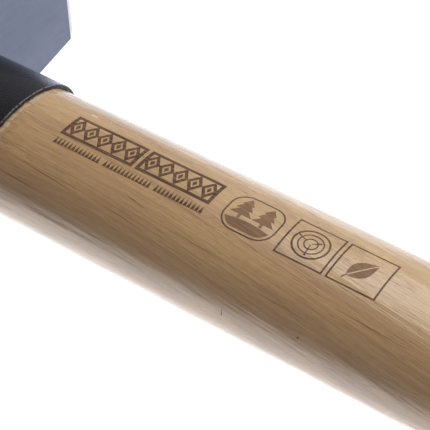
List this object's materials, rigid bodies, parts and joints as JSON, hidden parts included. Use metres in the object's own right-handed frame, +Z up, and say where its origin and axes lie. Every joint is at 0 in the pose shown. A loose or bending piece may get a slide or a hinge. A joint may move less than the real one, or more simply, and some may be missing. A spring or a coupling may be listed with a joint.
{
  "type": "splitting maul",
  "caption": "Long-handled splitting maul: a wedge-shaped steel head with a hammer poll, an oval wooden handle and a black overstrike sleeve below the head.",
  "frame": {"origin": "on the cheek that the head lies on, under the centre of the eye", "axes": "+X along the handle towards the grip, +Y towards the hammer poll (the cutting edge is towards -Y), +Z up, square to the cheeks"},
  "size_m": [0.9077, 0.1935, 0.062],
  "materials": {
    "head_steel": "fine linear grind, satin, blue-grey",
    "lacquered_hickory": "clear gloss lacquer over straight-grained hickory",
    "sleeve_leather": "black, fine pebbled grain, satin",
    "wedge_wood": "sawn end grain, oiled",
    "wedge_steel": "dark, hammered"
  },
  "bodies": {
    "root": {"head": "head_steel", "handle": "lacquered_hickory", "overstrike_sleeve": "sleeve_leather", "wood_wedge": "wedge_wood", "steel_wedge_bit_side": "wedge_steel", "steel_wedge_poll_side": "wedge_steel"}
  },
  "joints": []
}
